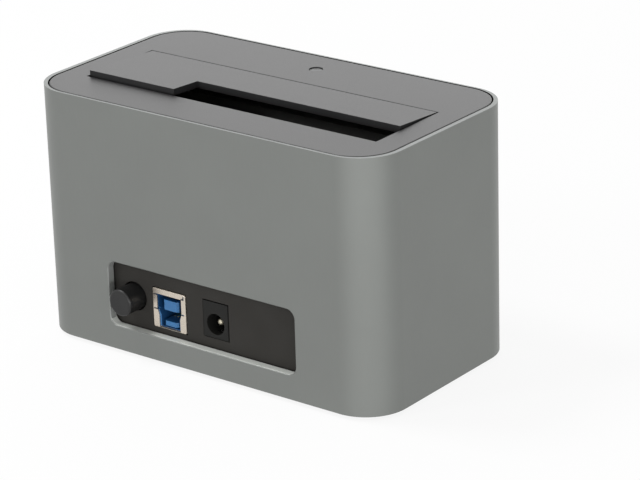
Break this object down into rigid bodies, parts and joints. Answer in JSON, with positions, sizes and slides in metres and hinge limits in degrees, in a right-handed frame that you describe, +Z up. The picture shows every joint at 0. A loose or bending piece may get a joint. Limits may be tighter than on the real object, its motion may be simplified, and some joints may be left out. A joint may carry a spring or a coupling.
{
  "type": "hard drive docking station",
  "caption": "Free-standing hard drive dock: aluminium sleeve, sprung L-shaped door over the drive slot, rear recess with push button, type B socket and power jack.",
  "frame": {"origin": "on the surface the feet stand on, under the middle of the whole outline, button included", "axes": "+X to the left as seen from the ports, +Y towards the rear with the ports, +Z up"},
  "size_m": [0.124, 0.0712, 0.0781],
  "materials": {
    "sleeve_metal": "anodised satin grey, fine upright brushing",
    "cover_plastic": "satin black, fine moulded grain",
    "bay_plastic": "matt black moulding",
    "panel_plastic": "matt black sheet",
    "button_plastic": "satin black",
    "jack_plastic": "black moulding, half gloss",
    "plated_shell": "bright nickel plate on stamped sheet",
    "socket_plastic": "blue moulding",
    "contact_metal": "gold plate",
    "steel": "bright drawn or rolled steel",
    "light_plastic": "frosted clear moulding",
    "board_laminate": "green solder mask on laminate",
    "chip_plastic": "matt black moulding compound",
    "plunger_plastic": "off-white moulding",
    "foot_rubber": "black soft rubber"
  },
  "bodies": {
    "case": {"outer_sleeve": "sleeve_metal", "top_cover": "cover_plastic", "bottom_plate": "bay_plastic", "rear_panel": "panel_plastic", "drive_bay": "bay_plastic", "hinge_pin": "steel", "flap_springs": "steel", "light_guide": "light_plastic", "status_led": "light_plastic", "main_board": "board_laminate", "sata_receptacle": "chip_plastic", "sata_contacts": "contact_metal", "usb_shell": "plated_shell", "usb_insulator": "socket_plastic", "usb_contacts": "contact_metal", "jack_body": "jack_plastic", "jack_pin": "contact_metal", "jack_contact": "steel", "switch_body": "chip_plastic", "switch_spring": "steel", "bridge_chip": "chip_plastic", "memory_chip": "chip_plastic", "regulator": "chip_plastic", "power_inductor": "chip_plastic", "capacitors": "steel", "crystal": "steel", "chip_resistors": "chip_plastic", "board_screws": "steel", "bay_screws": "steel", "case_screws": "steel", "rubber_feet": "foot_rubber"},
    "door": {"drive_flap": "cover_plastic"},
    "button": {"power_button": "button_plastic", "switch_plunger": "plunger_plastic"}
  },
  "joints": [
    {"name": "door_hinge", "type": "hinge", "parent": "case", "child": "door", "pos_m": [0, -0.01535, 0.072], "axis": [-1, 0, 0], "range_deg": [0, 93], "stiffness_Nm_per_rad": 0.01, "springref_deg": -34.38, "deforming": ["flap_springs"]},
    {"name": "button_press", "type": "slide", "parent": "case", "child": "button", "axis": [0, -1, 0], "range_m": [0, 0.0025], "stiffness_N_per_m": 400, "springref_m": -0.002, "deforming": ["switch_spring"]}
  ]
}
